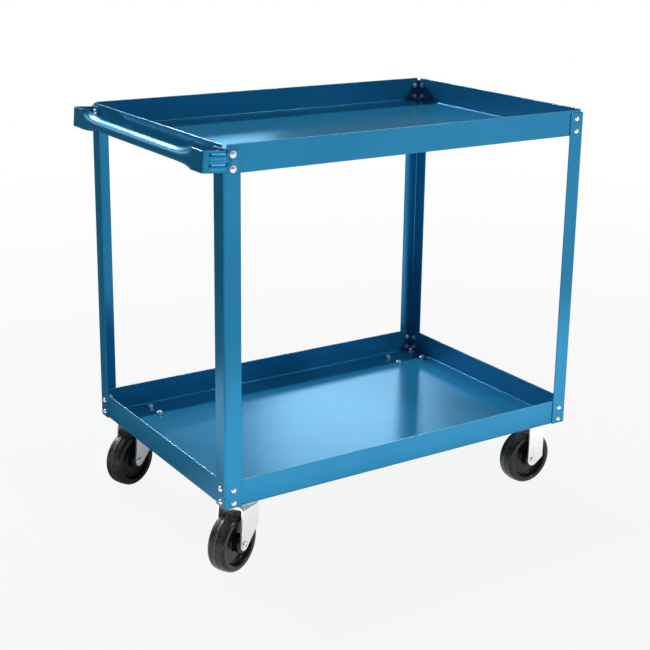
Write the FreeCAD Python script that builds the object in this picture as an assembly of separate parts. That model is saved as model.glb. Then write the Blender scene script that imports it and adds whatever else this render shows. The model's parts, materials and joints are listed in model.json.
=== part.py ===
import FreeCAD
import Part
import math
import os
from FreeCAD import Vector

# A two-shelf steel cart. Two folded trays sit inside four angle-iron legs, held by screws at each
# corner. A pressed handle crosses the end at -X, where two swivel casters carry the cart, and two
# rigid casters carry the end at +X. Lengths are in millimetres and +Z is up. The floor is z = 0,
# and the origin lies under the middle of the cart's whole box.

# Frame
cart_length = 914.4            # over the outer faces of the legs
cart_width = 609.6             # over the outer faces of the legs
leg_length = 736.6
leg_flange = 38.1              # outer width of each flange of the angle
leg_thickness = 2.0
leg_bend = 3.0                 # radius inside the bend
leg_tip_radius = 5.0           # rounding of the free top corners

# Trays
tray_sheet = 1.5
lip_height = 57.15             # outer height of a lip
rim_rise = 6.35                # upper rim above the tops of the legs
tray_bend = 2.0                # radius inside the fold between floor and lip
corner_relief = 7.0            # from a tray's corner to the end of each lip
lip_tip_radius = 3.0

# Corner screws
screw_diameter = 6.35
screw_head_diameter = 12.0
screw_head_height = 4.2
screw_slot_width = 1.6
screw_slot_depth = 1.5
screw_slot_turn = 50.0         # degrees from the slot of one screw to the slot of the next
screw_nut_width = 11.1         # across the flats
screw_nut_height = 5.6
screw_tip = 1.6                # screw showing past its nut
screw_inset = 20.0             # from a leg's outer corner, along each flange
screw_low = 10.5               # lower screw above the underside of its tray
screw_pitch = 28.0             # lower screw to upper screw
hole_gap = 0.25                # radial play of a screw in its holes
thread_gap = 0.05              # radial play between a screw and its nut

# Handle
handle_reach = 44.0            # from the legs' faces to the front of the handle, before it is tilted
handle_tilt = 4.2              # degrees, the front of the handle up
handle_sheet = 2.4
strap_margin = 0.25            # strap above and below the washers of its screws
strap_end_gap = 2.0            # strap's end short of the leg's free edge
handle_corner_bend = 4.0       # radius inside the bend from strap to flat end
handle_flat_end = 38.0         # flat stretch of the cross piece, past the bend
handle_blend = 88.0            # length over which the flat end rolls into the grip
grip_sheet_width = 57.0        # width of the sheet along the curve of the grip
grip_wrap = 232.0              # degrees of the circle that the grip wraps round
grip_drop = 4.5                # middle of the grip below the middle of the straps
bead_width = 14.0              # two wide beads pressed along each strap
bead_proud = 2.2
bead_spacing = 20.5            # between the middles of the two wide beads
bead_end_gap = 4.5             # from a wide bead's ends to the bend and to the washers
rib_width = 5.0                # narrow rib between the beads
rib_proud = 1.3
washer_diameter = 14.0
washer_thickness = 1.4
washer_gap = 0.15              # radial play between a washer and its screw

# Caster plates and their bolts
swivel_inset = 73.3            # from a leg's end face to the middle of a swivel plate
rigid_inset = 64.8             # from a leg's end face to the middle of a rigid plate
swivel_inset_width = 57.5      # from a leg's side face to the middle of a swivel plate
rigid_inset_width = 60.8       # from a leg's side face to the middle of a rigid plate
plate_length = 98.0
plate_width = 72.0
plate_thickness = 3.0
plate_corner_radius = 8.0
bolt_spacing_length = 78.0
bolt_spacing_width = 50.0
plate_bolt_diameter = 7.94
plate_bolt_head_width = 12.7
plate_bolt_head_height = 5.2
plate_nut_height = 6.7
plate_bolt_tip = 2.0

# Wheels and axles
wheel_diameter = 127.0
wheel_width = 42.0
hub_proud = 6.0                # hub beyond each face of the rim
hub_diameter = 36.0
web_thickness = 18.0
rim_depth = 16.0               # tread to the inside of the rim
rim_draft = 2.0                # slope of the dished sides
tread_crown = 0.9              # fall of the tread from its middle to its shoulders
shoulder_width = 4.5           # rounded side of the tread
shoulder_fall = 3.0
seam_height = 0.4              # mould seam round the middle of the tread
seam_width = 1.8
axle_diameter = 9.53
axle_head_diameter = 15.5
axle_head_height = 3.2
axle_dimple_diameter = 7.5     # round hollow in the middle of the head
axle_dimple_depth = 1.4
axle_nut_width = 14.29
axle_nut_height = 5.8
axle_tip = 1.6
sleeve_wall = 4.0
running_gap = 0.06             # radial play of a turning fit
hub_washer_diameter = 22.0
hub_washer_thickness = 1.2
side_gap = 0.3                 # between flat faces that turn past each other

# Forks
fork_sheet = 3.6
fork_bend = 6.5                # radius inside the bend from crown to fork leg
wheel_clearance = 15.55        # tread to the underside of the crown
swivel_lead = 40.0             # kingpin to axle, level
swivel_boss_radius = 12.5      # rounding of a swivel fork leg round its axle
swivel_back_slant = 7.0        # back edge of a fork leg, farther back at the axle than at the top
swivel_front = 10.0            # kingpin to the front edge of a swivel fork's legs
swivel_front_fall = 52.0       # that edge's upright stretch, below the crown
rigid_setback = 1.0            # axle behind the middle of a rigid plate
rigid_boss_radius = 14.5
rigid_back_slant = 2.0
rigid_front_gap = 2.8          # rigid fork leg to the bolt heads in front of it
rigid_shoulder_rise = 3.5      # axle to the corner where the rigid leg starts to slant
right_swivel_turn = 25.5       # degrees, how each swivel caster stands at rest
left_swivel_turn = 23.0

# Swivel heads
dish_wall = 4.0                # boss pressed down in the middle of the swivel plate
dish_depth = 8.0               # boss below the underside of the plate
dish_margin = 4.8              # boss beyond its ball race
crown_margin = 1.8             # round crown beyond its ball race
head_gap = 1.6                 # boss to crown
ball_diameter = 6.35
ball_circle = 38.0
ball_count = 15
ball_gap = 0.3                 # between a ball and the race that turns over it
ball_seat_gap = 0.05           # between a ball and the race that carries it
kingpin_diameter = 12.7
kingpin_head_diameter = 24.0
kingpin_head_height = 5.0
kingpin_washer_diameter = 28.0
kingpin_washer_thickness = 2.0
kingpin_nut_width = 19.05
kingpin_nut_height = 7.5
kingpin_tip = 1.5

# Places that follow from the sizes above
X, Y, Z = Vector(1, 0, 0), Vector(0, 1, 0), Vector(0, 0, 1)
slant = math.sqrt(0.5)         # middle of a quarter circle, as a share of its radius
match = 0.01                   # lengths that differ by less count as equal
half_length = cart_length / 2
half_width = cart_width / 2
lip_half_length = half_length - leg_thickness
lip_half_width = half_width - leg_thickness
axle_height = wheel_diameter / 2
crown_underside = wheel_diameter + wheel_clearance
crown_top = crown_underside + fork_sheet
race_height = crown_top + head_gap / 2
dish_floor = crown_top + head_gap
dish_hollow = dish_floor + dish_wall
plate_underside = dish_floor + dish_depth
lower_tray_z = plate_underside + plate_thickness
leg_top = lower_tray_z + leg_length
upper_rim = leg_top + rim_rise
upper_tray_z = upper_rim - lip_height
handle_height = screw_pitch + washer_diameter + 2 * strap_margin
handle_z = upper_tray_z + screw_low + screw_pitch / 2
race_radius = (ball_circle + ball_diameter) / 2
crown_radius = race_radius + crown_margin
dish_radius = race_radius + dish_margin
hub_length = wheel_width + 2 * hub_proud
fork_inner = hub_length + 2 * (hub_washer_thickness + side_gap)
fork_outer = fork_inner + 2 * fork_sheet
sleeve_bore = axle_diameter / 2 + thread_gap
sleeve_outer = sleeve_bore + sleeve_wall
screw_hole = screw_diameter / 2 + hole_gap
plate_hole = plate_bolt_diameter / 2 + hole_gap
caster_x = {"swivel": half_length - swivel_inset, "rigid": half_length - rigid_inset}
caster_y = {"swivel": half_width - swivel_inset_width, "rigid": half_width - rigid_inset_width}
tilt = math.radians(handle_tilt)
handle_arm = (handle_reach + screw_inset) * math.cos(tilt) + handle_height / 2 * math.sin(tilt)
cart_middle = (handle_arm - screw_inset - screw_head_height) / 2
corners = [(sx, sy) for sx in (-1, 1) for sy in (-1, 1)]
bolt_pattern = [Vector(sx * bolt_spacing_length, sy * bolt_spacing_width, 0) / 2 for sx, sy in corners]


# Small makers used by several pieces
def line(*points):
    """Straight edges through the points."""
    return Part.makePolygon(list(points)).Edges


def arc(start, middle, end):
    return [Part.Arc(start, middle, end).toShape()]


def closed(edges):
    return Part.Wire(Part.sortEdges(edges)[0])


def prism(edges, direction):
    return Part.Face(closed(edges)).extrude(direction)


def ring(outer, inner, height):
    return Part.makeCylinder(outer, height).cut(Part.makeCylinder(inner, height))


def aimed(shape, base, direction):
    """Stand a shape that was made along +Z on a base point, along a direction."""
    placed = shape.copy()
    placed.Placement = FreeCAD.Placement(base, FreeCAD.Rotation(Z, direction))
    return placed


def drilled(shape, radius, points, direction, depth):
    """Cut a round hole at each point, as deep on one side of the point as on the other."""
    for point in points:
        shape = shape.cut(Part.makeCylinder(radius, depth, point - direction * (depth / 2), direction))
    return shape


def hexagon(width, height, bore=0.0):
    """A hexagon nut or bolt head on z = 0, with its upper corners turned off."""
    corner = width / math.sqrt(3)
    chamfer = corner - width / 2
    turns = [math.radians(60 * i) for i in range(7)]
    outline = line(*[Vector(corner * math.cos(t), corner * math.sin(t), 0) for t in turns])
    barrel = Part.makeCylinder(corner, height - chamfer)
    cone = Part.makeCone(corner, width / 2, chamfer, Z * (height - chamfer))
    solid = prism(outline, Z * height).common(barrel.fuse(cone))
    if bore:
        solid = solid.cut(Part.makeCylinder(bore, height))
    return solid


def hex_bolt(diameter, width, height, length):
    """A hexagon head above z = 0 and a shank below it."""
    shank = Part.makeCylinder(diameter / 2, length, Z * -length)
    return hexagon(width, height).fuse(shank).removeSplitter()


def low_head(diameter, height):
    """A low round head on z = 0, with its upper edge chamfered."""
    head = Part.makeCylinder(diameter / 2, height)
    upper = [e for e in head.Edges if e.BoundBox.ZMin > height - match]
    return head.makeChamfer(height / 3, upper)


def round_head_screw(length):
    """A round slotted head above z = 0 and a shank below it."""
    radius = screw_head_diameter / 2
    crown = (radius ** 2 + screw_head_height ** 2) / (2 * screw_head_height)
    ball = Part.makeSphere(crown, Z * (screw_head_height - crown))
    head = ball.common(Part.makeCylinder(radius, screw_head_height))
    slot_low = Vector(-radius, -screw_slot_width / 2, screw_head_height - screw_slot_depth)
    head = head.cut(Part.makeBox(2 * radius, screw_slot_width, screw_slot_depth, slot_low))
    shank = Part.makeCylinder(screw_diameter / 2, length, Z * -length)
    return head.fuse(shank).removeSplitter()


# Screw seats: two in each flange of a leg, at each tray
def screw_seats(tray_z, sx, sy):
    """Points on a leg's outer faces where screws enter, each with its outward direction."""
    seats = []
    for height in (screw_low, screw_low + screw_pitch):
        z = tray_z + height
        seats.append((Vector(sx * (half_length - screw_inset), sy * half_width, z), Y * sy))
        seats.append((Vector(sx * half_length, sy * (half_width - screw_inset), z), X * sx))
    return seats


def all_seats(tray_z):
    return [seat for sx, sy in corners for seat in screw_seats(tray_z, sx, sy)]


def under_strap(seat):
    """The handle's straps lie over the side flanges at the -X end of the upper tray."""
    point, outward = seat
    return point.z > upper_tray_z and point.x < 0 and abs(outward.y) > 0.5


# Trays and legs
def folded_channel(z, half_span, half_run, across, along):
    """A tray's floor between two opposite lips, folded up at its two edges."""
    outer = tray_sheet + tray_bend

    def at(span, height):
        return across * span + Z * (z + height) - along * half_run

    inside = half_span - outer
    edges = line(at(-inside, 0), at(inside, 0)) + line(at(-inside, tray_sheet), at(inside, tray_sheet))
    for side in (-1, 1):
        face = side * half_span
        skin = side * (half_span - tray_sheet)
        heel = side * inside
        edges += line(at(face, outer), at(face, lip_height), at(skin, lip_height), at(skin, outer))
        for radius in (outer, tray_bend):
            edges += arc(at(heel + side * radius, outer),
                         at(heel + side * radius * slant, outer - radius * slant),
                         at(heel, outer - radius))
    channel = prism(edges, along * (2 * half_run))
    rim = z + lip_height
    tips = [e for e in channel.Edges if e.BoundBox.ZMin > rim - match and e.Length < 2 * tray_sheet]
    return channel.makeFillet(lip_tip_radius, tips)


def tray(z):
    """A tray folded from one sheet: a floor and four lips that stop short of the corners."""
    long_lips = folded_channel(z, lip_half_width, lip_half_length - corner_relief, Y, X)
    end_lips = folded_channel(z, lip_half_length, lip_half_width - corner_relief, X, Y)
    shape = long_lips.fuse(end_lips).removeSplitter()
    for point, outward in all_seats(z):
        shape = drilled(shape, screw_hole, [point], outward, 4 * (leg_thickness + tray_sheet))
    return shape


def leg(sx, sy):
    """An angle-iron leg: two flanges outside the trays, bent at the cart's corner."""
    outer = leg_thickness + leg_bend

    def at(in_x, in_y):
        return Vector(sx * (half_length - in_x), sy * (half_width - in_y), lower_tray_z)

    edges = line(at(outer, 0), at(leg_flange, 0), at(leg_flange, leg_thickness), at(outer, leg_thickness))
    edges += line(at(0, outer), at(0, leg_flange), at(leg_thickness, leg_flange), at(leg_thickness, outer))
    for radius in (outer, leg_bend):
        near = outer - radius
        middle = outer - radius * slant
        edges += arc(at(outer, near), at(middle, middle), at(near, outer))
    shape = prism(edges, Z * leg_length)
    tips = []
    for edge in shape.Edges:
        centre = edge.BoundBox.Center
        free_x = abs(abs(centre.x) - (half_length - leg_flange)) < match
        free_y = abs(abs(centre.y) - (half_width - leg_flange)) < match
        if edge.BoundBox.ZMin > leg_top - match and (free_x or free_y):
            tips.append(edge)
    shape = shape.makeFillet(leg_tip_radius, tips)
    for tray_z in (lower_tray_z, upper_tray_z):
        for point, outward in screw_seats(tray_z, sx, sy):
            shape = drilled(shape, screw_hole, [point], outward, 4 * leg_thickness)
    return shape


# Handle
handle_front = -half_length - handle_reach
strap_face = half_width + handle_sheet
handle_turn = handle_sheet + handle_corner_bend
flat_end_y = strap_face - handle_turn - handle_flat_end
grip_end_y = flat_end_y - handle_blend


def handle_end(side):
    """A strap, its bend and the flat end of the cross piece, bent from one strip."""
    strap_end = -half_length + leg_flange - strap_end_gap
    bend_x = handle_front + handle_turn
    inner_x = handle_front + handle_sheet
    flat = handle_turn + handle_flat_end

    def at(x, in_y):
        return Vector(x, side * (strap_face - in_y), handle_z - handle_height / 2)

    edges = line(at(bend_x, 0), at(strap_end, 0), at(strap_end, handle_sheet), at(bend_x, handle_sheet))
    edges += line(at(handle_front, handle_turn), at(handle_front, flat), at(inner_x, flat),
                  at(inner_x, handle_turn))
    for radius in (handle_turn, handle_corner_bend):
        near = handle_turn - radius
        middle = handle_turn - radius * slant
        edges += arc(at(bend_x, near), at(handle_front + middle, middle),
                     at(handle_front + near, handle_turn))
    return prism(edges, Z * handle_height)


def grip_section(y, share):
    """The sheet's section across the handle: flat where share is 0, fully rolled where it is 1."""
    wrap = math.radians(grip_wrap) * share
    width = handle_height + (grip_sheet_width - handle_height) * share
    middle = Vector(handle_front, y, handle_z - grip_drop * share)
    half_steps = 4
    skins = []
    for depth in (0.0, handle_sheet):
        points = []
        for step in range(-half_steps, half_steps + 1):
            part = step / (2 * half_steps)
            turn = wrap * part
            roll = width / wrap if wrap else 0.0
            swing = roll * (1 - math.cos(turn))
            lift = roll * math.sin(turn) if wrap else width * part
            inward = Vector(math.cos(turn), 0, -math.sin(turn)) * depth
            points.append(middle + X * swing + Z * lift + inward)
        curve = Part.BSplineCurve()
        curve.interpolate(points)
        skins.append((curve.toShape(), points[0], points[-1]))
    (face, face_low, face_high), (back, back_low, back_high) = skins
    return closed([face, back] + line(face_high, back_high) + line(face_low, back_low))


def grip_blend(side):
    """The stretch where a flat end rolls up into the grip."""
    steps = 6
    wires = []
    for i in range(steps + 1):
        along = i / steps
        share = math.sin(math.pi / 2 * along)
        wires.append(grip_section(side * (flat_end_y - along * handle_blend), share))
    return Part.makeLoft(wires, True, False)


def bead(start, end, z, width, proud, side):
    """A rounded bead pressed out of a strap, along X, with round ends."""
    crown = ((width / 2) ** 2 + proud ** 2) / (2 * proud)
    centre_y = side * (strap_face + proud - crown)
    first = Vector(start + width / 2, centre_y, z)
    last = Vector(end - width / 2, centre_y, z)
    bar = Part.makeCylinder(crown, (last - first).Length, first, X)
    whole = bar.multiFuse([Part.makeSphere(crown, first), Part.makeSphere(crown, last)])
    sunk_y = strap_face - handle_sheet / 2
    low_y = sunk_y if side > 0 else -sunk_y - crown
    keep = Part.makeBox(end - start + 2 * crown, crown, 2 * crown, Vector(start - crown, low_y, z - crown))
    return whole.common(keep)


def handle():
    """A pressed handle: two straps on the legs, flat bent ends, and a rolled grip between them."""
    screw_x = -half_length + screw_inset
    bead_start = handle_front + handle_turn + bead_end_gap
    bead_end = screw_x - washer_diameter / 2 - bead_end_gap
    rib_end = -half_length + leg_flange - strap_end_gap - rib_width
    pieces = [Part.makeLoft([grip_section(-grip_end_y, 1), grip_section(grip_end_y, 1)], True, True)]
    for side in (-1, 1):
        pieces += [grip_blend(side), handle_end(side)]
        for lift in (-bead_spacing / 2, bead_spacing / 2):
            pieces.append(bead(bead_start, bead_end, handle_z + lift, bead_width, bead_proud, side))
        pieces.append(bead(bead_start, rib_end, handle_z, rib_width, rib_proud, side))
    shape = pieces[0].multiFuse(pieces[1:]).removeSplitter()
    shape.rotate(Vector(screw_x, 0, handle_z), Y, handle_tilt)
    for point, outward in filter(under_strap, all_seats(upper_tray_z)):
        shape = drilled(shape, screw_hole, [point], outward, 4 * handle_sheet)
    return shape


# Corner screws, nuts and washers
def corner_screws(seats, stack):
    """Round-head screws through whatever is stacked on the legs, the legs and the lips."""
    length = stack + leg_thickness + tray_sheet + screw_nut_height + screw_tip
    screws = []
    for i, (point, outward) in enumerate(seats):
        screw = round_head_screw(length)
        screw.rotate(Vector(), Z, screw_slot_turn * i)
        turned = Part.makeCompound([screw])
        screws.append(aimed(turned, point + outward * stack, outward))
    return Part.makeCompound(screws)


def corner_nuts(tray_z):
    nut = hexagon(screw_nut_width, screw_nut_height, screw_diameter / 2 + thread_gap)
    depth = leg_thickness + tray_sheet
    seats = all_seats(tray_z)
    return Part.makeCompound([aimed(nut, point - outward * depth, outward * -1) for point, outward in seats])


def strap_washers(seats):
    disc = ring(washer_diameter / 2, screw_diameter / 2 + washer_gap, washer_thickness)
    lift = handle_sheet
    return Part.makeCompound([aimed(disc, point + outward * lift, outward) for point, outward in seats])


# Casters, each made with its plate's middle on the Z axis and rolling along X
def flat_plate():
    low = Vector(-plate_length / 2, -plate_width / 2, plate_underside)
    plate = Part.makeBox(plate_length, plate_width, plate_thickness, low)
    upright = [e for e in plate.Edges if abs(e.BoundBox.ZLength - plate_thickness) < match]
    return plate.makeFillet(plate_corner_radius, upright)


def plate_drilled(plate):
    points = [p + Z * plate_underside for p in bolt_pattern]
    return drilled(plate, plate_hole, points, Z, 4 * plate_thickness)


def plate_bolts():
    """Bolts with their heads under a caster plate."""
    length = plate_thickness + tray_sheet + plate_nut_height + plate_bolt_tip
    bolt = hex_bolt(plate_bolt_diameter, plate_bolt_head_width, plate_bolt_head_height, length)
    return Part.makeCompound([aimed(bolt, p + Z * plate_underside, Z * -1) for p in bolt_pattern])


def plate_nuts():
    """The nuts of a caster's bolts, on the lower tray's floor."""
    nut = hexagon(plate_bolt_head_width, plate_nut_height, plate_bolt_diameter / 2 + thread_gap)
    return Part.makeCompound([aimed(nut, p + Z * (lower_tray_z + tray_sheet), Z) for p in bolt_pattern])


def fork_channel(back, front, top, bottom):
    """A channel bent over the wheel, running along X: a crown with two legs."""
    outer = fork_sheet + fork_bend
    half = fork_outer / 2

    def at(y, z):
        return Vector(back, y, z)

    flat = half - outer
    under = top - fork_sheet
    edges = line(at(-flat, top), at(flat, top)) + line(at(-flat, under), at(flat, under))
    for side in (-1, 1):
        face = side * half
        skin = side * (half - fork_sheet)
        edges += line(at(face, top - outer), at(face, bottom), at(skin, bottom), at(skin, top - outer))
        for radius in (outer, fork_bend):
            edges += arc(at(side * (flat + radius), top - outer),
                         at(side * (flat + radius * slant), top - outer + radius * slant),
                         at(side * flat, top - outer + radius))
    return prism(edges, X * (front - back))


def fork(axle, boss_radius, back_slant, front, shoulder_z, top):
    """A fork whose two edges run down from its crown, and slant in to a boss round the axle."""
    back = axle.x - boss_radius
    channel = fork_channel(back, front, top, axle.z - boss_radius)
    shoulder = Vector(front, 0, shoulder_z)
    heel = Vector(back + back_slant, 0, top)

    def touch(corner, side):
        """Angle on the boss where the straight edge from a corner meets it."""
        slope = corner - axle
        return math.atan2(slope.z, slope.x) + side * math.acos(boss_radius / slope.Length)

    def on_boss(turn):
        return axle + Vector(math.cos(turn), 0, math.sin(turn)) * boss_radius

    leave = touch(shoulder, -1)
    arrive = touch(heel, 1) - 2 * math.pi
    outline = line(on_boss(arrive), heel, Vector(front, 0, top), shoulder, on_boss(leave))
    outline += arc(on_boss(leave), on_boss((leave + arrive) / 2), on_boss(arrive))
    side_view = prism(outline, Y * fork_outer).translated(Y * (-fork_outer / 2))
    return drilled(channel.common(side_view), sleeve_bore, [axle], Y, 2 * fork_outer)


def ball_race(gap):
    return Part.makeTorus(ball_circle / 2, ball_diameter / 2 + gap, Z * race_height)


def swivel_fork(axle):
    """The turning fork: two legs under a round crown, with the kingpin's hole and a race for the balls."""
    shoulder_z = crown_top - swivel_front_fall
    shape = fork(axle, swivel_boss_radius, swivel_back_slant, swivel_front, shoulder_z, crown_top)
    shape = shape.fuse(Part.makeCylinder(crown_radius, fork_sheet, Z * crown_underside)).removeSplitter()
    shape = drilled(shape, kingpin_diameter / 2 + running_gap, [Z * crown_top], Z, 4 * fork_sheet)
    return shape.cut(ball_race(ball_seat_gap))


def swivel_plate():
    """A plate with a boss pressed down in its middle, grooved below for the balls."""
    boss = Part.makeCylinder(dish_radius, dish_depth, Z * dish_floor)
    hollow = Part.makeCylinder(dish_radius - dish_wall, lower_tray_z - dish_hollow, Z * dish_hollow)
    plate = flat_plate().fuse(boss).cut(hollow).cut(ball_race(ball_gap))
    plate = drilled(plate, kingpin_diameter / 2 + thread_gap, [Z * dish_hollow], Z, 4 * dish_wall)
    return plate_drilled(plate)


def race_balls():
    balls = []
    for i in range(ball_count):
        turn = 2 * math.pi * i / ball_count
        centre = Vector(math.cos(turn), math.sin(turn), 0) * (ball_circle / 2)
        balls.append(Part.makeSphere(ball_diameter / 2, centre + Z * race_height))
    return Part.makeCompound(balls)


kingpin_nut_top = crown_underside - kingpin_washer_thickness - side_gap


def kingpin():
    """The pin that a fork turns on, with its head in the hollow of the plate."""
    head = low_head(kingpin_head_diameter, kingpin_head_height).translated(Z * dish_hollow)
    low = kingpin_nut_top - kingpin_nut_height - kingpin_tip
    return head.fuse(Part.makeCylinder(kingpin_diameter / 2, dish_hollow - low, Z * low)).removeSplitter()


def kingpin_washer():
    disc = ring(kingpin_washer_diameter / 2, kingpin_diameter / 2 + running_gap, kingpin_washer_thickness)
    return disc.translated(Z * (crown_underside - kingpin_washer_thickness))


def kingpin_nut():
    nut = hexagon(kingpin_nut_width, kingpin_nut_height, kingpin_diameter / 2 + thread_gap)
    return aimed(nut, Z * kingpin_nut_top, Z * -1)


def rigid_bracket(axle):
    """A fixed fork under a plate, made as one."""
    front = bolt_spacing_length / 2 - plate_bolt_head_width / math.sqrt(3) - rigid_front_gap
    shoulder_z = axle.z + rigid_shoulder_rise
    horn = fork(axle, rigid_boss_radius, rigid_back_slant, front, shoulder_z, plate_underside)
    return plate_drilled(flat_plate().fuse(horn).removeSplitter())


def wheel():
    """A moulded wheel about Y: crowned tread with a mould seam, dished sides and a long hub."""
    tread = wheel_diameter / 2
    base = tread - seam_height
    rim = wheel_width / 2
    web = web_thickness / 2
    shoulder = rim - shoulder_width
    edge = base - tread_crown - shoulder_fall
    rim_inside = tread - rim_depth
    bore = sleeve_outer + running_gap

    def half(side):
        def at(along, radius):
            return Vector(side * along, radius, 0)

        seam = seam_width / 2
        midway = (shoulder + seam) / 2
        outline = line(at(0, bore), at(hub_length / 2, bore), at(hub_length / 2, hub_diameter / 2),
                       at(web, hub_diameter / 2 + rim_draft), at(web, rim_inside - rim_draft),
                       at(rim, rim_inside), at(rim, edge))
        outline += arc(at(rim, edge),
                       at(shoulder + shoulder_width * slant, edge + shoulder_fall * slant),
                       at(shoulder, edge + shoulder_fall))
        outline += arc(at(shoulder, edge + shoulder_fall),
                       at(midway, base - tread_crown * (midway / shoulder) ** 2), at(seam, base))
        return outline + line(at(seam, base), at(0, tread))

    turned = Part.Face(closed(half(1) + half(-1))).revolve(Vector(), X, 360)
    turned.rotate(Vector(), Z, 90)
    return turned


def axle_pieces():
    """The axle bolt, its nut, the sleeve that the wheel turns on, and the washers beside the hub."""
    length = fork_outer + axle_nut_height + axle_tip
    dimple_floor = Z * (axle_head_height - axle_dimple_depth)
    head = low_head(axle_head_diameter, axle_head_height)
    head = head.cut(Part.makeCylinder(axle_dimple_diameter / 2, axle_head_height, dimple_floor))
    bolt = head.fuse(Part.makeCylinder(axle_diameter / 2, length, Z * -length)).removeSplitter()
    nut = hexagon(axle_nut_width, axle_nut_height, sleeve_bore)
    sleeve = ring(sleeve_outer, sleeve_bore, fork_inner)
    disc = ring(hub_washer_diameter / 2, sleeve_outer + thread_gap, hub_washer_thickness)
    washers = [aimed(disc, Y * (side * fork_inner / 2), Y * -side) for side in (-1, 1)]
    return {
        "axle_bolt": aimed(bolt, Y * (-fork_outer / 2), Y * -1),
        "axle_nut": aimed(nut, Y * (fork_outer / 2), Y),
        "axle_sleeve": aimed(sleeve, Y * (-fork_inner / 2), Y),
        "hub_washers": Part.makeCompound(washers),
        "wheel": wheel(),
    }


def caster(kind):
    """A caster's pieces by name: those that stay under the tray, and those that turn with its fork."""
    still = {"plate_bolts": plate_bolts(), "plate_nuts": plate_nuts()}
    turning = {}
    if kind == "swivel":
        axle = Vector(-swivel_lead, 0, axle_height)
        still["top_plate"] = swivel_plate()
        still["kingpin"] = kingpin()
        still["kingpin_nut"] = kingpin_nut()
        turning["fork"] = swivel_fork(axle)
        turning["race_balls"] = race_balls()
        turning["kingpin_washer"] = kingpin_washer()
    else:
        axle = Vector(-rigid_setback, 0, axle_height)
        still["bracket"] = rigid_bracket(axle)
    for name, shape in axle_pieces().items():
        turning[name] = shape.translated(axle)
    return still, turning


# The whole cart
ends = {"handle": -1, "front": 1}
sides = {"right": -1, "left": 1}
kinds = {"handle": "swivel", "front": "rigid"}
rest_turns = {("handle", "right"): right_swivel_turn, ("handle", "left"): left_swivel_turn}
strap_seats = list(filter(under_strap, all_seats(upper_tray_z)))
plain_seats = [seat for seat in all_seats(upper_tray_z) if not under_strap(seat)]

nodes = {
    "upper_tray": tray(upper_tray_z),
    "lower_tray": tray(lower_tray_z),
    "handle": handle(),
    "upper_corner_screws": corner_screws(plain_seats, 0.0),
    "upper_corner_nuts": corner_nuts(upper_tray_z),
    "lower_corner_screws": corner_screws(all_seats(lower_tray_z), 0.0),
    "lower_corner_nuts": corner_nuts(lower_tray_z),
    "handle_screws": corner_screws(strap_seats, handle_sheet + washer_thickness),
    "handle_washers": strap_washers(strap_seats),
}
for end, sx in ends.items():
    for side, sy in sides.items():
        nodes["leg_" + end + "_" + side] = leg(sx, sy)
        place = Vector(sx * caster_x[kinds[end]], sy * caster_y[kinds[end]], 0)
        floor_holes = [p + place + Z * lower_tray_z for p in bolt_pattern]
        nodes["lower_tray"] = drilled(nodes["lower_tray"], plate_hole, floor_holes, Z, 4 * tray_sheet)
        still, turning = caster(kinds[end])
        for shape in turning.values():
            shape.rotate(Vector(), Z, rest_turns.get((end, side), 0.0))
        for name, shape in {**still, **turning}.items():
            nodes[kinds[end] + "_" + side + "_" + name] = shape.translated(place)

os.makedirs("parts", exist_ok=True)
for name, shape in nodes.items():
    centred = shape.translated(X * cart_middle)
    centred.exportStep("parts/" + name + ".step")
    box = centred.BoundBox
    print("%-27s solids %2d valid %s  x %.1f to %.1f  y %.1f to %.1f  z %.1f to %.1f" % (
        name, len(shape.Solids), shape.isValid(),
        box.XMin, box.XMax, box.YMin, box.YMax, box.ZMin, box.ZMax))
print(len(nodes), "nodes; lower tray at", lower_tray_z, "and upper rim at", upper_rim)
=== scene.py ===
# %% [markdown]
# # Dressing a steel shelf cart
# The cart is two folded trays screwed inside four angle-iron legs, with a pressed handle at one end and
# four casters below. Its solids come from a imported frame, so nothing here sets a size or a place anew:
# each step asks the frame where a piece is and works from that. One Blender unit is one metre, +Z is up,
# the handle is at -X and the long side nearest the camera is at -Y.

# %% Load the frame
import bpy
import json
import math
from mathutils import Matrix, Vector


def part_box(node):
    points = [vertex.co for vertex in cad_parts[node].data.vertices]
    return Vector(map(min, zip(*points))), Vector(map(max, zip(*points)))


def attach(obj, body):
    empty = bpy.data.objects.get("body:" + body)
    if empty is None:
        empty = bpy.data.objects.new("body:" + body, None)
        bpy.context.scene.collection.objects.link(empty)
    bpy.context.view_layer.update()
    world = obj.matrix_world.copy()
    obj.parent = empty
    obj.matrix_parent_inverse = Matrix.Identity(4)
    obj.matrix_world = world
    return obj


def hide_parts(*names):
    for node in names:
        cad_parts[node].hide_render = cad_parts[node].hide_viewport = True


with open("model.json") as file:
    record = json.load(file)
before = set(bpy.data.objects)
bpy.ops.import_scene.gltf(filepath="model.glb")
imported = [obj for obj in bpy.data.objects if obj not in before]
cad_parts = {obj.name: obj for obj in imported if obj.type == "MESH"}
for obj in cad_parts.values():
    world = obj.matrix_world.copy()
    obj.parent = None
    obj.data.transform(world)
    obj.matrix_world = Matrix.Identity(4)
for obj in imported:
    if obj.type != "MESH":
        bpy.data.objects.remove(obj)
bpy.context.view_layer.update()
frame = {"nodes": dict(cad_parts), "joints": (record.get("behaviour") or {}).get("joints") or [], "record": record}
nodes = frame["nodes"]

# %% [markdown]
# ## Places to work from
# A few corners of the frame are enough to place everything that is added later. The trays give the middle
# of the cart, a leg gives the faces that the handle's straps lie on, and the two screws through a strap
# give the height of its middle line. Reading them here keeps the later cells free of copied numbers.

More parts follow.
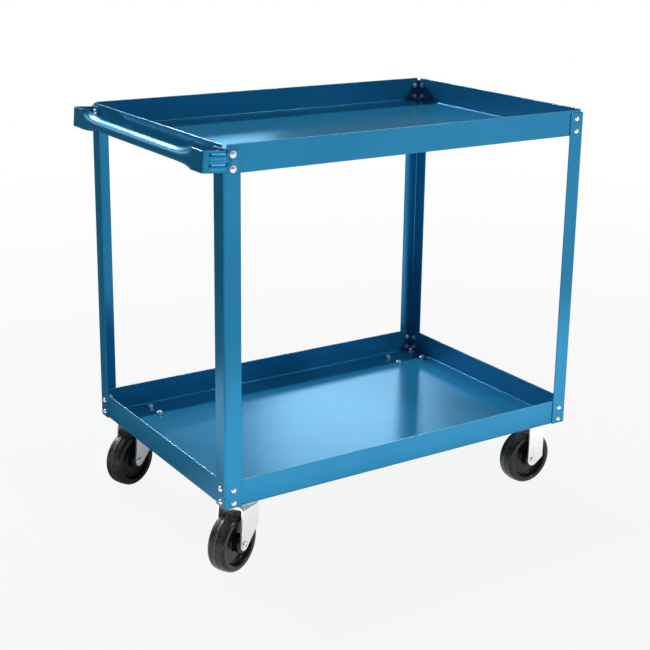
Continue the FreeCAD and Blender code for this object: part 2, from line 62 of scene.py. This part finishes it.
# %% Read the places
tray_low, tray_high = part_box("lower_tray")
leg_low, leg_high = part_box("leg_handle_right")
screws_low, screws_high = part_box("handle_screws")
tray_middle = (tray_low + tray_high) / 2
leg_face_y = -leg_low.y
screw_x = (screws_low.x + screws_high.x) / 2
strap_middle_z = (screws_low.z + screws_high.z) / 2
print("tray middle", [round(v, 4) for v in tray_middle], "strap height", round(strap_middle_z, 4))

# %% [markdown]
# ## Helpers for finishes
# Every finish below is a small web of nodes: a noise pattern in real metres steers colour, roughness and
# bump together, so that the surface keeps its detail from any side and needs no picture. The same three
# or four nodes come back in each finish, so they get short functions. Texture coordinates are the
# object's own, which on this frame are metres from the cart's origin.


# %% Node helpers
def new_finish(name):
    """A material with its Principled shader, ready for nodes."""
    material = bpy.data.materials.new(name)
    material.use_nodes = True
    return material, material.node_tree, material.node_tree.nodes["Principled BSDF"]


def add_node(tree, kind, **settings):
    """A new node of a kind, with its settings."""
    node = tree.nodes.new(kind)
    for key, value in settings.items():
        setattr(node, key, value)
    return node


def noise(tree, size, detail=2.0):
    """A cloudy pattern whose patches are about size metres wide, from 0 to 1."""
    place = add_node(tree, "ShaderNodeTexCoord")
    pattern = add_node(tree, "ShaderNodeTexNoise")
    pattern.inputs["Scale"].default_value = 1 / size
    pattern.inputs["Detail"].default_value = detail
    tree.links.new(place.outputs["Object"], pattern.inputs["Vector"])
    return pattern.outputs["Fac"]


def spread(tree, value, low, high, to_low, to_high):
    """Stretch the part of a value between low and high to a new range."""
    node = add_node(tree, "ShaderNodeMapRange")
    for socket, number in zip(("From Min", "From Max", "To Min", "To Max"), (low, high, to_low, to_high)):
        node.inputs[socket].default_value = number
    tree.links.new(value, node.inputs["Value"])
    return node.outputs["Result"]


def times(tree, first, second):
    """The product of two values."""
    node = add_node(tree, "ShaderNodeMath", operation="MULTIPLY")
    tree.links.new(first, node.inputs[0])
    tree.links.new(second, node.inputs[1])
    return node.outputs["Value"]


def tint(tree, value, first, second):
    """Go from the first colour to the second as the value rises from 0 to 1."""
    node = add_node(tree, "ShaderNodeMix", data_type="RGBA")
    for socket, colour in (("A", first), ("B", second)):
        end = next(s for s in node.inputs if s.name == socket and s.type == "RGBA")
        if isinstance(colour, bpy.types.NodeSocket):
            tree.links.new(colour, end)
        else:
            end.default_value = (*colour, 1)
    tree.links.new(value, node.inputs["Factor"])
    return next(s for s in node.outputs if s.type == "RGBA")


def bump(tree, height, depth, under=None):
    """Raise a surface by up to depth metres where height is 1, on top of another bump if one is given."""
    node = add_node(tree, "ShaderNodeBump")
    node.inputs["Strength"].default_value = 1.0
    node.inputs["Distance"].default_value = depth
    tree.links.new(height, node.inputs["Height"])
    if under is not None:
        tree.links.new(under, node.inputs["Normal"])
    return node.outputs["Normal"]


print("node helpers ready")

# %% [markdown]
# ## Blue stove enamel
# The trays, legs and handle are sheet steel under baked enamel with a little fine flake in it. The flake
# tints what the enamel mirrors, so a shallow glance over a tray shows pale blue instead of white. A small
# share of Metallic stands for it, with a blue Specular Tint for the shallow angles. A faint orange peel
# breaks the mirror up. Paint also swells round the edges of a sheet, where it catches light as a thin
# line. The Bevel node gives the rounded normal for that, and also finds the rims: they lie where that
# normal departs from the true one and looks up. There the colour is lightened to pale blue, a painted
# highlight for the bright line that light draws along the upper rims. An Ambient Occlusion node leaves
# out the inner corners of the folds, which keep no painted highlight.

# %% Blue enamel
enamel_dark, enamel_light = (0.016, 0.222, 0.435), (0.018, 0.246, 0.472)
speck_blue = (0.004, 0.060, 0.120)
painted_highlight_blue = (0.40, 0.80, 1.00)
speck_spacing, speck_radius = 0.09, 0.0011
edge_radius = 0.0022
fold_reach = 0.006
peel_size, peel_depth = 0.0075, 0.00005
grain_size, grain_depth = 0.0028, 0.00004
flake_share = 0.30


def round_edges(tree, radius):
    """A normal that turns round sharp edges as if they had that radius."""
    node = add_node(tree, "ShaderNodeBevel", samples=4)
    node.inputs["Radius"].default_value = radius
    return node.outputs["Normal"]


def painted_highlight_rims(tree, rounded):
    """Where the rim highlight is painted: 1 beside a sharp outer edge that looks up, 0 elsewhere."""
    true = add_node(tree, "ShaderNodeNewGeometry")
    likeness = add_node(tree, "ShaderNodeVectorMath", operation="DOT_PRODUCT")
    tree.links.new(rounded, likeness.inputs[0])
    tree.links.new(true.outputs["Normal"], likeness.inputs[1])
    sides = add_node(tree, "ShaderNodeSeparateXYZ")
    tree.links.new(rounded, sides.inputs["Vector"])
    beside = spread(tree, likeness.outputs["Value"], 0.99, 0.85, 0, 1)
    openness = add_node(tree, "ShaderNodeAmbientOcclusion", samples=4)
    openness.inputs["Distance"].default_value = fold_reach
    outer = times(tree, beside, spread(tree, openness.outputs["AO"], 0.75, 0.95, 0, 1))
    return times(tree, outer, spread(tree, sides.outputs["Z"], 0.1, 0.4, 0, 1))


def specks(tree, spacing, radius):
    """1 in small round spots about spacing metres apart, 0 between them."""
    place = add_node(tree, "ShaderNodeTexCoord")
    cells = add_node(tree, "ShaderNodeTexVoronoi")
    cells.inputs["Scale"].default_value = 1 / spacing
    tree.links.new(place.outputs["Object"], cells.inputs["Vector"])
    return spread(tree, cells.outputs["Distance"], radius / spacing, 0.6 * radius / spacing, 0, 1)


def make_blue_enamel():
    material, tree, shader = new_finish("blue_enamel")
    clouds = spread(tree, noise(tree, 0.22), 0.3, 0.7, 0, 1)
    body = tint(tree, clouds, enamel_dark, enamel_light)
    spotted = tint(tree, specks(tree, speck_spacing, speck_radius), body, speck_blue)
    rounded = round_edges(tree, edge_radius)
    # painted highlight: the upper rims are lightened to pale blue where light would catch their edges
    colour = tint(tree, painted_highlight_rims(tree, rounded), spotted, painted_highlight_blue)
    peel = bump(tree, noise(tree, peel_size, 1.0), peel_depth, under=rounded)
    grain = bump(tree, noise(tree, grain_size), grain_depth, under=peel)
    gloss = spread(tree, noise(tree, 0.004), 0.25, 0.75, 0.21, 0.25)
    tree.links.new(colour, shader.inputs["Base Color"])
    tree.links.new(gloss, shader.inputs["Roughness"])
    tree.links.new(grain, shader.inputs["Normal"])
    shader.inputs["Specular IOR Level"].default_value = 0.18
    shader.inputs["Specular Tint"].default_value = (0.66, 0.90, 1.0, 1)
    shader.inputs["Metallic"].default_value = flake_share
    return material


finishes = {"blue_enamel": make_blue_enamel()}
print("blue enamel:", len(finishes["blue_enamel"].node_tree.nodes), "nodes")

# %% [markdown]
# ## Bright zinc
# Screws, nuts, washers, plates and forks are zinc plated. Zinc is a metal, so its colour is the colour of
# its reflections, and what tells it from chrome is unevenness: cloudy patches, a soft roughness that
# changes from place to place, and tiny pits left by the plating bath.

# %% Bright zinc
zinc_dark, zinc_light = (0.88, 0.89, 0.91), (0.97, 0.975, 0.985)
cloud_size, sheen_size = 0.012, 0.006
pit_size, pit_depth = 0.0009, 0.00003


def make_bright_zinc():
    material, tree, shader = new_finish("bright_zinc")
    clouds = spread(tree, noise(tree, cloud_size, 3.0), 0.3, 0.7, 0, 1)
    colour = tint(tree, clouds, zinc_dark, zinc_light)
    gloss = spread(tree, noise(tree, sheen_size, 3.0), 0.3, 0.7, 0.28, 0.42)
    pits = bump(tree, noise(tree, pit_size), pit_depth)
    tree.links.new(colour, shader.inputs["Base Color"])
    tree.links.new(gloss, shader.inputs["Roughness"])
    tree.links.new(pits, shader.inputs["Normal"])
    shader.inputs["Metallic"].default_value = 0.75
    return material


finishes["bright_zinc"] = make_bright_zinc()
print("bright zinc:", len(finishes["bright_zinc"].node_tree.nodes), "nodes")

# %% [markdown]
# ## Oiled steel
# The balls and the axle sleeves are bare steel in grease. They hardly show, but a finish that is darker
# and browner than zinc keeps them apart from it when a caster is seen from below.

# %% Oiled steel
grease_brown, steel_grey = (0.20, 0.17, 0.13), (0.46, 0.45, 0.43)


def make_oiled_steel():
    material, tree, shader = new_finish("plain_steel")
    film = spread(tree, noise(tree, 0.004, 3.0), 0.35, 0.65, 0, 1)
    colour = tint(tree, film, grease_brown, steel_grey)
    gloss = spread(tree, film, 0, 1, 0.18, 0.36)
    tree.links.new(colour, shader.inputs["Base Color"])
    tree.links.new(gloss, shader.inputs["Roughness"])
    tree.links.new(bump(tree, noise(tree, 0.0012), 0.00002), shader.inputs["Normal"])
    shader.inputs["Metallic"].default_value = 1.0
    return material


finishes["plain_steel"] = make_oiled_steel()
print("oiled steel:", len(finishes["plain_steel"].node_tree.nodes), "nodes")

# %% [markdown]
# ## Black moulded wheels
# The wheels are hard, glossy black mouldings. The sides keep the polish of the mould, while the tread is
# scuffed by rolling, and the seam where the mould closed runs round its middle as a thin pale line. A
# wheel is swept from one section further down, and each of its points then carries two numbers: its
# radius and how far it lies from the middle of the tread. With those, one finish can hold all three.

# %% Black wheel
solid_low, solid_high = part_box("rigid_right_wheel")
tread_radius = (solid_high.z - solid_low.z) / 2
wheel_black = (0.020, 0.019, 0.019)
scuff_grey = (0.190, 0.184, 0.180)
seam_grey = (0.22, 0.215, 0.21)
scuffed_roughness = (0.34, 0.34, 0.34)


def carried(tree, name):
    """A number that each point of the mesh carries."""
    return add_node(tree, "ShaderNodeAttribute", attribute_name=name).outputs["Fac"]


def make_black_wheel():
    material, tree, shader = new_finish("black_wheel")
    tread = spread(tree, carried(tree, "radius"), tread_radius - 0.004, tread_radius - 0.001, 0, 1)
    seam = spread(tree, carried(tree, "from_middle"), 0.0013, 0.0006, 0, 1)
    scuffs = times(tree, tread, spread(tree, noise(tree, 0.004, 4.0), 0.40, 0.75, 0, 1))
    worn = tint(tree, scuffs, wheel_black, scuff_grey)
    colour = tint(tree, times(tree, tread, seam), worn, seam_grey)
    polish = spread(tree, noise(tree, 0.01), 0.3, 0.7, 0.16, 0.24)
    gloss = tint(tree, tread, polish, scuffed_roughness)
    tree.links.new(colour, shader.inputs["Base Color"])
    tree.links.new(gloss, shader.inputs["Roughness"])
    tree.links.new(bump(tree, noise(tree, 0.0016, 3.0), 0.00003), shader.inputs["Normal"])
    shader.inputs["Specular IOR Level"].default_value = 0.35
    return material


finishes["black_wheel"] = make_black_wheel()
print("black wheel:", len(finishes["black_wheel"].node_tree.nodes), "nodes")
print("tread radius", round(tread_radius, 4))

# %% [markdown]
# ## Dress the solids
# Most solids already have the right shape and only need a finish, which the frame's record names for each
# of them. Cut and bent steel never has a razor edge, though. The solids arrive with split corners, so a
# Weld modifier joins those first, then a narrow Bevel breaks the edges, and Weighted Normal keeps the big
# flat faces flat. Modifiers leave the solid's own mesh as it is.


# %% Dress the solids
def soften(piece, width):
    """Break a solid's sharp edges by that width, with modifiers alone."""
    weld = piece.modifiers.new("join_corners", "WELD")
    weld.merge_threshold = 0.00001
    bevel = piece.modifiers.new("break_edges", "BEVEL")
    bevel.width = width
    bevel.segments = 2
    bevel.limit_method = "ANGLE"
    bevel.angle_limit = math.radians(35)
    piece.modifiers.new("flat_faces", "WEIGHTED_NORMAL").keep_sharp = True


def dress(piece, slot):
    """Give a piece the finish of its slot and no other."""
    piece.data.materials.clear()
    piece.data.materials.append(finishes[slot])


edge_break = {"blue_enamel": 0.0007, "bright_zinc": 0.0003}
for subpart in frame["record"]["subparts"]:
    node, slot = subpart["node"], subpart["material_slot"]
    dress(nodes[node], slot)
    if slot in edge_break:
        soften(nodes[node], edge_break[slot])

# %% [markdown]
# ## The pressed handle
# One strip of sheet makes the whole handle: straps flat on the legs, a tight bend at each corner, a flat
# stretch, and a middle rolled to a tube that is open at the back for the finger tips. A lofted solid can
# only suggest that, so the scene builds it as a press would: a flat grid of points is bent along its
# length and rolled across its width, the beads are pushed out of the straps, and Solidify gives it the
# thickness of the sheet. Half is drawn and Mirror makes the other half. It is drawn level first.

# %% The strip's path
sheet = 0.0024
reach = 0.044
corner_radius = 0.0064
flat_stretch = 0.038
roll_stretch = 0.088
strap_height = 0.0425
strap_y = leg_face_y + sheet
front_x = leg_low.x - reach
strap_end_x = leg_high.x - 0.002
outward = Vector((0, 1, 0))
ahead = Vector((-1, 0, 0))


def strip_path():
    """Places along half of the strip, seen from above: x, y, where its face looks, how far it is rolled."""
    bend_x = front_x + corner_radius
    bend_y = strap_y - corner_radius
    roll_y = bend_y - flat_stretch
    grip_y = roll_y - roll_stretch
    strap_steps, bend_steps, flat_steps, roll_steps, grip_steps = 70, 10, 10, 40, 14
    places = []
    for i in range(strap_steps):
        places.append((strap_end_x + (bend_x - strap_end_x) * i / strap_steps, strap_y, outward, 0))
    for i in range(bend_steps):
        turn = math.pi / 2 * i / bend_steps
        face = outward * math.cos(turn) + ahead * math.sin(turn)
        places.append((bend_x + corner_radius * face.x, bend_y + corner_radius * face.y, face, 0))
    for i in range(flat_steps):
        places.append((front_x, bend_y - flat_stretch * i / flat_steps, ahead, 0))
    for i in range(roll_steps):
        share = i / roll_steps
        places.append((front_x, roll_y - roll_stretch * share, ahead, math.sin(math.pi / 2 * share)))
    for i in range(grip_steps + 1):
        places.append((front_x, grip_y * (1 - i / grip_steps), ahead, 1))
    return places


path = strip_path()
print("half strip:", len(path), "places from the strap's end to the middle of the grip")

# %% [markdown]
# ### Beads and roll
# Two wide beads and a thin rib stiffen each strap. Each is a rounded ridge along a short line, so the
# distance from that line gives its height. Towards the screws the beads flare out round the washers, so a
# part of a ring joins them there, at an even distance from each screw. Across the strip, a row of points
# is straight where the strip is flat and bends to an arc where it rolls, while the width of the sheet
# stays what was cut.

# %% The strip's rows
grip_width = 0.057
grip_wrap = math.radians(232)
grip_drop = 0.0045
bead_lift, bead_half, bead_proud = 0.01025, 0.0070, 0.0022
rib_half, rib_proud = 0.0025, 0.0013
flare_radius, flare_half, flare_proud = 0.0137, 0.0034, 0.0020
screw_lift = 0.014
bead_start_x = front_x + corner_radius + 0.0045
bead_end_x = screw_x - 0.0115


def mound(distance, half, proud):
    """Height of a rounded ridge at a distance from its middle line."""
    share = min(abs(distance) / half, 1.0)
    return proud * (1 - share * share) ** 1.5


def ridge_height(x, lift):
    """How far a strap is pushed out at a point, by the highest ridge there."""
    in_bead_x = min(max(x, bead_start_x + bead_half), bead_end_x - bead_half)
    in_rib_x = min(max(x, bead_start_x + rib_half), strap_end_x - 2 * rib_half)
    heights = [mound(math.hypot(x - in_rib_x, lift), rib_half, rib_proud)]
    for side in (-1, 1):
        heights.append(mound(math.hypot(x - in_bead_x, lift - side * bead_lift), bead_half, bead_proud))
        from_screw = math.hypot(x - screw_x, lift - side * screw_lift)
        fade = min(max((screw_x - x) / flare_half, 0.0), 1.0)
        heights.append(mound(from_screw - flare_radius, flare_half, flare_proud * fade))
    return max(heights)


def strip_row(x, y, face, roll, count):
    """Points across the strip at one place, from its lower edge to its upper edge."""
    width = strap_height + (grip_width - strap_height) * roll
    wrap = grip_wrap * roll
    row = []
    for i in range(count + 1):
        share = i / count - 0.5
        if wrap:
            radius = width / wrap
            sink = radius * (1 - math.cos(wrap * share))
            lift = radius * math.sin(wrap * share)
        else:
            sink = 0.0
            lift = width * share
        proud = ridge_height(x, lift) if face == outward else 0.0
        row.append(Vector((x, y, strap_middle_z - grip_drop * roll + lift)) + face * (proud - sink))
    return row


print("grip rolled to a radius of", round(grip_width / grip_wrap, 4), "and open at the back")

# %% [markdown]
# ### Tilt
# The straps don't sit level on the legs: the front of the handle stands a few degrees higher than its
# screws. All the rows are turned together about the middle of the screws, so nothing above has to know.

# %% Tilt the strip
pivot = Vector((screw_x, 0, strap_middle_z))
tilt = Matrix.Rotation(math.radians(4.2), 3, "Y")
rows = [[pivot + tilt @ (point - pivot) for point in strip_row(*place, count=64)] for place in path]
print("rows of", len(rows[0]), "points, highest", round(max(p.z for row in rows for p in row), 4))

# %% [markdown]
# ### From rows to sheet
# Quads between neighbouring rows make the outer skin of the strip. Three modifiers do the rest: Mirror
# copies the half across the middle of the cart, Solidify adds the thickness of the sheet on the inside, and
# a narrow Bevel rounds the cut edges, as a tumbling drum would.


# %% Build the handle
def grid_mesh(name, rows):
    """A mesh of quads through rows of points."""
    points = [p for row in rows for p in row]
    across = len(rows[0])
    quads = []
    for i in range(len(rows) - 1):
        for j in range(across - 1):
            start = i * across + j
            quads.append((start, start + across, start + across + 1, start + 1))
    mesh = bpy.data.meshes.new(name)
    mesh.from_pydata(points, [], quads)
    mesh.validate()
    mesh.shade_smooth()
    return mesh


def add_piece(name, mesh, slot, body, node, place=(0, 0, 0)):
    """Put a dressed mesh at a place, where it rides on a body and stands for a solid of the frame."""
    piece = bpy.data.objects.new(name, mesh)
    bpy.context.scene.collection.objects.link(piece)
    dress(piece, slot)
    piece.matrix_world = Matrix.Translation(place)
    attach(piece, body)
    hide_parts(node)
    return piece


strip = grid_mesh("pressed_handle", rows)
handle = add_piece("pressed_handle", strip, "blue_enamel", "cart_frame", "handle")
mirror = handle.modifiers.new("other_half", "MIRROR")
mirror.use_axis = (False, True, False)
mirror.merge_threshold = 0.0001
thicken = handle.modifiers.new("sheet", "SOLIDIFY")
thicken.thickness = sheet
thicken.offset = -1
thicken.use_even_offset = True
rim = handle.modifiers.new("break_edges", "BEVEL")
rim.width = 0.0005
rim.segments = 2
rim.angle_limit = math.radians(50)
print("handle:", len(handle.data.polygons), "quads in one half")

# %% [markdown]
# ## Turned wheels
# A wheel is round about its axle, so it is drawn once as a half section and swept round, as on a lathe.
# Fillets matter most on black: without them the gloss has nothing to catch. Each corner of the section
# therefore carries its own radius, and a short function swaps the corner for an arc.

# %% The wheel's section
hub_half = (solid_high.y - solid_low.y) / 2
rim_half = 0.021
web_half = 0.009
bore = 0.008875
hub_radius = 0.018
rim_inside = tread_radius - 0.016
seam_height = 0.0004


def fillet(before, corner, after, radius, steps=5):
    """Points of an arc of that radius in place of a corner."""
    to_before = (before - corner).normalized()
    to_after = (after - corner).normalized()
    half_turn = to_before.angle(to_after) / 2
    reach = radius / math.tan(half_turn)
    centre = corner + (to_before + to_after).normalized() * (radius / math.sin(half_turn))
    start = corner + to_before * reach - centre
    end = corner + to_after * reach - centre
    swing = start.angle(end)
    points = []
    for i in range(steps + 1):
        share = i / steps
        mixed = start * math.sin(swing * (1 - share)) + end * math.sin(swing * share)
        points.append(centre + mixed / math.sin(swing))
    return points


def half_section():
    """Half of a wheel's section, from the bore out to the middle of the tread: axial place, then radius."""
    corners = [
        (0.0, bore, 0), (hub_half, bore, 0.0006), (hub_half, hub_radius, 0.0014),
        (web_half + 0.0015, hub_radius + 0.0010, 0.0022), (web_half, rim_inside - 0.0040, 0.0040),
        (rim_half, rim_inside + 0.0005, 0.0035), (rim_half, tread_radius - 0.0060, 0.0060),
        (rim_half - 0.0055, tread_radius - 0.0012, 0.0100),
        (0.0070, tread_radius - seam_height - 0.0001, 0), (0.0009, tread_radius - seam_height, 0),
        (0.0004, tread_radius, 0), (0.0, tread_radius, 0),
    ]
    points = []
    for i, (along, radius, round_off) in enumerate(corners):
        corner = Vector((along, radius))
        if round_off:
            before, after = Vector(corners[i - 1][:2]), Vector(corners[i + 1][:2])
            points += fillet(before, corner, after, round_off)
        else:
            points.append(corner)
    return points


section = half_section()
section += [Vector((-p.x, p.y)) for p in reversed(section[1:-1])]
print("wheel section:", len(section), "points round one slice")

# %% [markdown]
# ### Sweep and place
# Sweeping the closed section round 128 times gives a ring of quads. The sweep starts with its axle along
# Y, is turned to the axis of the wheel's joint, and the object is set on the joint's position. Both come
# from the frame. While the points are made, their radius and distance from the middle are stored too.


# %% Turn the wheels
def turned_mesh(name, section, axis, slices=128):
    """A closed section swept round an axis through the origin."""
    points, quads = [], []
    count = len(section)
    swing = outward.rotation_difference(axis)
    for i in range(slices):
        turn = 2 * math.pi * i / slices
        points += [swing @ Vector((p.y * math.cos(turn), p.x, p.y * math.sin(turn))) for p in section]
        for j in range(count):
            k = (j + 1) % count
            this, following = i * count, (i + 1) % slices * count
            quads.append((this + j, this + k, following + k, following + j))
    mesh = bpy.data.meshes.new(name)
    mesh.from_pydata(points, [], quads)
    mesh.validate()
    mesh.shade_smooth()
    radii = mesh.attributes.new("radius", "FLOAT", "POINT")
    radii.data.foreach_set("value", [p.y for p in section] * slices)
    sides = mesh.attributes.new("from_middle", "FLOAT", "POINT")
    sides.data.foreach_set("value", [abs(p.x) for p in section] * slices)
    return mesh


for joint in frame["joints"]:
    if "_roll_" not in joint["name"]:
        continue
    node = joint["child"].replace("_wheel", "") + "_wheel"
    mesh = turned_mesh(node, section, Vector(joint["axis"]))
    wheel = add_piece("turned_" + node, mesh, "black_wheel", joint["child"], node, joint["pos_m"])
    print("wheel", wheel.name, "at", [round(v, 4) for v in joint["pos_m"]])

# %% [markdown]
# ## Floor
# The cart stands on a pale floor that runs out into white. Lamps would have to be very strong to bleach a
# floor, and they would bleach the cart with it. So the floor shows white of its own to the camera. Under
# the cart some plain matte surface is mixed in, which keeps the cart's shadow, and it gives way to white a
# few metres out. In reflections the floor is white in front of the cart and dark behind it, as if the
# paper ended there, so that the long sides mirror white and the ends stay deep blue. To every other ray
# it is a matte floor that throws light back up.

# %% Floor
matte_grey = (0.45, 0.45, 0.45, 1)
white_here, white_far = 0.90, 1.0
fade_from, fade_to = 1.0, 4.0
floor_reach = 40.0


def own_white(tree):
    """How white the floor shows to the camera, more so far from its middle."""
    place = add_node(tree, "ShaderNodeTexCoord")
    length = add_node(tree, "ShaderNodeVectorMath", operation="LENGTH")
    tree.links.new(place.outputs["Object"], length.inputs[0])
    return spread(tree, length.outputs["Value"], fade_from, fade_to, white_here, white_far)


def mirrored_white(tree):
    """How bright the floor is in reflections: dark behind, white in front, brighter still far in front."""
    place = add_node(tree, "ShaderNodeTexCoord")
    sides = add_node(tree, "ShaderNodeSeparateXYZ")
    tree.links.new(place.outputs["Object"], sides.inputs["Vector"])
    level = add_node(tree, "ShaderNodeMath", operation="ADD")
    tree.links.new(spread(tree, sides.outputs["Y"], -0.05, 0.25, 1.0, 0.05), level.inputs[0])
    tree.links.new(spread(tree, sides.outputs["Y"], -3.2, -1.6, 0.9, 0.0), level.inputs[1])
    return level.outputs["Value"]


def make_floor_finish():
    material = bpy.data.materials.new("pale_floor")
    material.use_nodes = True
    tree = material.node_tree
    tree.nodes.remove(tree.nodes["Principled BSDF"])
    matte = add_node(tree, "ShaderNodeBsdfDiffuse")
    matte.inputs["Color"].default_value = matte_grey
    white = add_node(tree, "ShaderNodeEmission")
    mirrored = add_node(tree, "ShaderNodeEmission")
    ray = add_node(tree, "ShaderNodeLightPath")
    tree.links.new(mirrored_white(tree), mirrored.inputs["Strength"])
    seen = add_node(tree, "ShaderNodeMixShader")
    tree.links.new(times(tree, ray.outputs["Is Camera Ray"], own_white(tree)), seen.inputs["Fac"])
    tree.links.new(matte.outputs["BSDF"], seen.inputs[1])
    tree.links.new(white.outputs["Emission"], seen.inputs[2])
    either = add_node(tree, "ShaderNodeMixShader")
    tree.links.new(ray.outputs["Is Glossy Ray"], either.inputs["Fac"])
    tree.links.new(seen.outputs["Shader"], either.inputs[1])
    tree.links.new(mirrored.outputs["Emission"], either.inputs[2])
    tree.links.new(either.outputs["Shader"], tree.nodes["Material Output"].inputs["Surface"])
    return material


floor_corners = [(x * floor_reach, y * floor_reach, 0) for x, y in ((-1, -1), (1, -1), (1, 1), (-1, 1))]
floor_mesh = bpy.data.meshes.new("floor")
floor_mesh.from_pydata(floor_corners, [], [(0, 1, 2, 3)])
floor = bpy.data.objects.new("floor", floor_mesh)
bpy.context.scene.collection.objects.link(floor)
floor_mesh.materials.append(make_floor_finish())
print("floor", 2 * floor_reach, "m across at z = 0")

# %% [markdown]
# ## Backdrop
# Above the floor's far edge the camera sees the world, which stands for a white studio wall. It is treated
# like the floor: white to look at, but dim as a light and in reflections, because the lamps are to do that
# work. The Light Path node tells one kind of ray from the other.


# %% Backdrop
def make_backdrop(ambient, mirrored):
    """A world that looks white, with its own strengths as a light and in reflections."""
    world = bpy.data.worlds.new("studio")
    bpy.context.scene.world = world
    world.use_nodes = True
    tree = world.node_tree
    ray = add_node(tree, "ShaderNodeLightPath")
    light = spread(tree, ray.outputs["Is Glossy Ray"], 0, 1, ambient, mirrored)
    strength = add_node(tree, "ShaderNodeMath", operation="MAXIMUM")
    tree.links.new(ray.outputs["Is Camera Ray"], strength.inputs[0])
    tree.links.new(light, strength.inputs[1])
    tree.links.new(strength.outputs["Value"], tree.nodes["Background"].inputs["Strength"])
    tree.nodes["Background"].inputs["Color"].default_value = (1, 1, 1, 1)


ambient, mirrored = 0.10, 0.16
make_backdrop(ambient, mirrored)
print("backdrop white, ambient light", ambient, "in reflections", mirrored)

# %% [markdown]
# ## Lamps
# The main light comes low from behind: the far lips throw a clear shadow on both tray floors, but the
# legs throw none. A long, narrow strip lamp does both, because a lamp is only sharp across its narrow
# side. Glowing boards on the floor, in front and at the left, light the faces that look at the camera and
# leave the insides of the trays darker, since lips and floors stand in their way. Two dim panels behind on
# the right do little but show in the tray floors: they hang where a glance off those floors ends, and
# give the pale glow there. The stronger one is for the lower floor. A photographer would hang a black flag
# before it to keep it off the upper tray, and light linking does the same without a flag in the picture.
# The other one has a blue gel, since so flat a glance off the upper floor would else turn it grey.
# A panel behind on the left draws the bright line along the grip, and a small one high in front does the
# same for the beads of the straps.


# %% Lamps
def add_lamp(name, strength, place, towards, wide, high):
    """A flat lamp that lights one way and doesn't show to the camera."""
    data = bpy.data.lights.new(name, "AREA")
    data.energy = strength
    data.shape = "RECTANGLE"
    data.size = wide
    data.size_y = high
    lamp = bpy.data.objects.new(name, data)
    bpy.context.scene.collection.objects.link(lamp)
    lamp.location = place
    lamp.visible_camera = False
    lamp.rotation_mode = "QUATERNION"
    lamp.rotation_quaternion = towards.to_track_quat("-Z", "Y")
    return lamp


cart_heart = Vector((0, 0, 0.5))
overhead = Vector((0, 0, 1))
front_floor = Vector((0.3, -0.9, 0.02))
left_floor = Vector((-1.0, 0.1, 0.02))
gel_blue = (0.38, 0.78, 1.0)
lamps = [
    ("key_strip", 620.0, Vector((-0.6, 6.6, 4.95)), cart_heart, 4.0, 0.7),
    ("front_board", 9.1, front_floor, front_floor + overhead, 2.6, 0.7),
    ("left_board", 3.3, left_floor, left_floor + overhead, 0.6, 1.2),
    ("back_panel", 31.0, Vector((4.8, 7.0, 3.6)), cart_heart, 1.5, 0.9),
    ("low_panel", 14.0, Vector((3.6, 7.6, 2.45)), cart_heart, 1.3, 0.5),
    ("left_panel", 43.0, Vector((-3.3, 6.0, 2.8)), cart_heart, 2.4, 2.2),
    ("high_panel", 60.0, Vector((2.6, -3.4, 3.3)), cart_heart, 0.8, 0.5),
]
hung = {}
for name, strength, place, target, wide, high in lamps:
    hung[name] = add_lamp(name, strength, place, target - place, wide, high)
flagged = bpy.data.collections.new("flagged")
flagged.objects.link(nodes["upper_tray"])
flagged.collection_objects[0].light_linking.link_state = "EXCLUDE"
hung["back_panel"].light_linking.receiver_collection = flagged
hung["low_panel"].data.color = gel_blue
key_place = lamps[0][2]
key_rise = math.degrees(math.atan2(key_place.z - cart_heart.z, key_place.y))
print("key light", round(key_rise, 1), "degrees above the cart")

# %% [markdown]
# ## Camera
# The camera stands off the near corner on the handle side, a little above the upper tray. The legs stay
# almost upright in the picture although the camera looks down on the trays, which is what a shifted lens
# does, so part of the framing is lens shift instead of tilt.

# %% Camera
scene = bpy.context.scene
lens = bpy.data.cameras.new("camera")
camera = bpy.data.objects.new("camera", lens)
scene.collection.objects.link(camera)
scene.camera = camera
swing, rise, lean = (math.radians(v) for v in (-33.15, 15.31, 0.79))
back = Vector((math.sin(swing) * math.cos(rise), -math.cos(swing) * math.cos(rise), math.sin(rise)))
across = Vector((math.cos(swing), math.sin(swing), 0))
above = back.cross(across)
right = across * math.cos(lean) + above * math.sin(lean)
up = above * math.cos(lean) - across * math.sin(lean)
stand_off = Vector((-1.6276, -2.4500, 1.1913))
stand = Vector((tray_middle.x, tray_middle.y, tray_low.z)) + stand_off
camera.matrix_world = Matrix.Translation(stand) @ Matrix((right, up, back)).transposed().to_4x4()
lens.sensor_width = 36
lens.lens = 73.45
lens.shift_y = -0.10
lens.clip_end = 200
scene.view_settings.view_transform = "Standard"
print("camera at", [round(v, 3) for v in stand])
